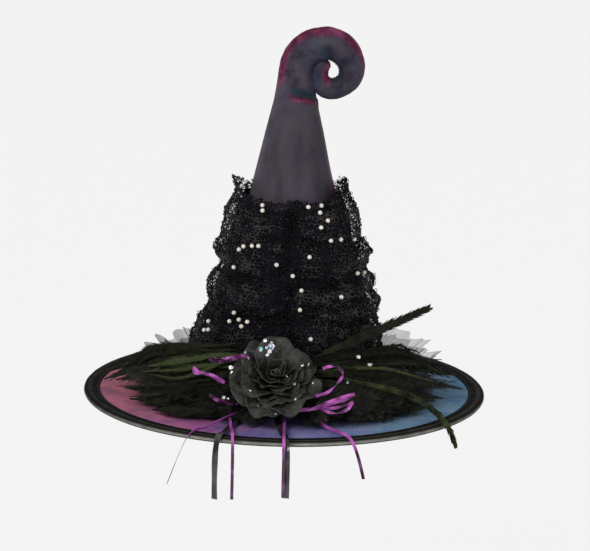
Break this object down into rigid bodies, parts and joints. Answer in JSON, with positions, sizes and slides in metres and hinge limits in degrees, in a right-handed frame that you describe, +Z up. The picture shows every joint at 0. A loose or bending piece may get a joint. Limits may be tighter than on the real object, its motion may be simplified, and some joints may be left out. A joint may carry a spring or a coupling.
{
  "type": "witch hat",
  "caption": "Costume witch hat with a leaning satin cone and wired curl, bound round brim, ruched lace, pearls, tulle, feathers, a fabric rose and ribbon tails.",
  "frame": {"origin": "centre of the head opening, in the plane of the brim's underside", "axes": "+Z up through the crown, -Y to the front where the rose sits, +X to the wearer's left, the side that the curl leans to"},
  "size_m": [0.4199, 0.435, 0.4558],
  "materials": {
    "crown_satin": "charcoal-plum satin with a soft sheen",
    "curl_satin": "shot satin, teal in the folds and wine red on the ridge",
    "brim_satin": "satin dyed from rose mauve through purple to slate blue",
    "under_satin": "black satin",
    "binding_satin": "dark grey satin binding",
    "buckram": "stiffened black buckram",
    "lining": "black satin lining",
    "sweatband": "black grosgrain",
    "wire": "millinery wire",
    "stuffing": "polyester wadding",
    "lace": "black corded lace on net",
    "thread": "black sewing thread",
    "pearl": "cream pearl lacquer",
    "tulle": "stiff grey tulle",
    "felt": "black felt",
    "feather_black": "black feather",
    "feather_olive": "dark olive-green feather",
    "petal_outer": "sheer black organza",
    "petal_inner": "black satin petals",
    "sequin": "iridescent",
    "purple_ribbon": "glossy purple satin ribbon",
    "black_ribbon": "charcoal satin ribbon"
  },
  "bodies": {
    "root": {"black_tail_left": "black_ribbon", "black_tail_right": "black_ribbon", "brim_binding": "binding_satin", "brim_board": "buckram", "brim_top_cover": "brim_satin", "brim_under_cover": "under_satin", "brim_wire": "wire", "crown_board": "buckram", "crown_cover": "crown_satin", "crown_lining": "lining", "curl_cover": "curl_satin", "curl_stuffing": "stuffing", "curl_wire": "wire", "feather_left_front": "feather_black", "feather_left_green": "feather_olive", "feather_left_low": "feather_black", "feather_left_middle": "feather_black", "feather_left_rear": "feather_black", "feather_left_upper": "feather_black", "feather_pad_left": "felt", "feather_pad_right": "felt", "feather_right_drooping": "feather_olive", "feather_right_front": "feather_black", "feather_right_middle": "feather_black", "feather_right_rear": "feather_black", "feather_right_tall": "feather_olive", "feather_right_upper": "feather_black", "gathering_threads": "thread", "lace_sleeve": "lace", "pearl_beads": "pearl", "purple_tail_far_left": "purple_ribbon", "purple_tail_left": "purple_ribbon", "purple_tail_middle": "purple_ribbon", "purple_tail_right": "purple_ribbon", "ribbon_loop_left_lower": "purple_ribbon", "ribbon_loop_left_middle": "purple_ribbon", "ribbon_loop_left_upper": "purple_ribbon", "ribbon_loop_right_lower": "purple_ribbon", "ribbon_loop_right_middle": "purple_ribbon", "ribbon_loop_right_upper": "purple_ribbon", "rose_backing": "felt", "rose_bud": "petal_inner", "rose_inner_petals": "petal_inner", "rose_middle_petals": "petal_inner", "rose_outer_petals": "petal_outer", "sequins": "sequin", "sweatband": "sweatband", "tulle_ruffle": "tulle"}
  },
  "joints": []
}
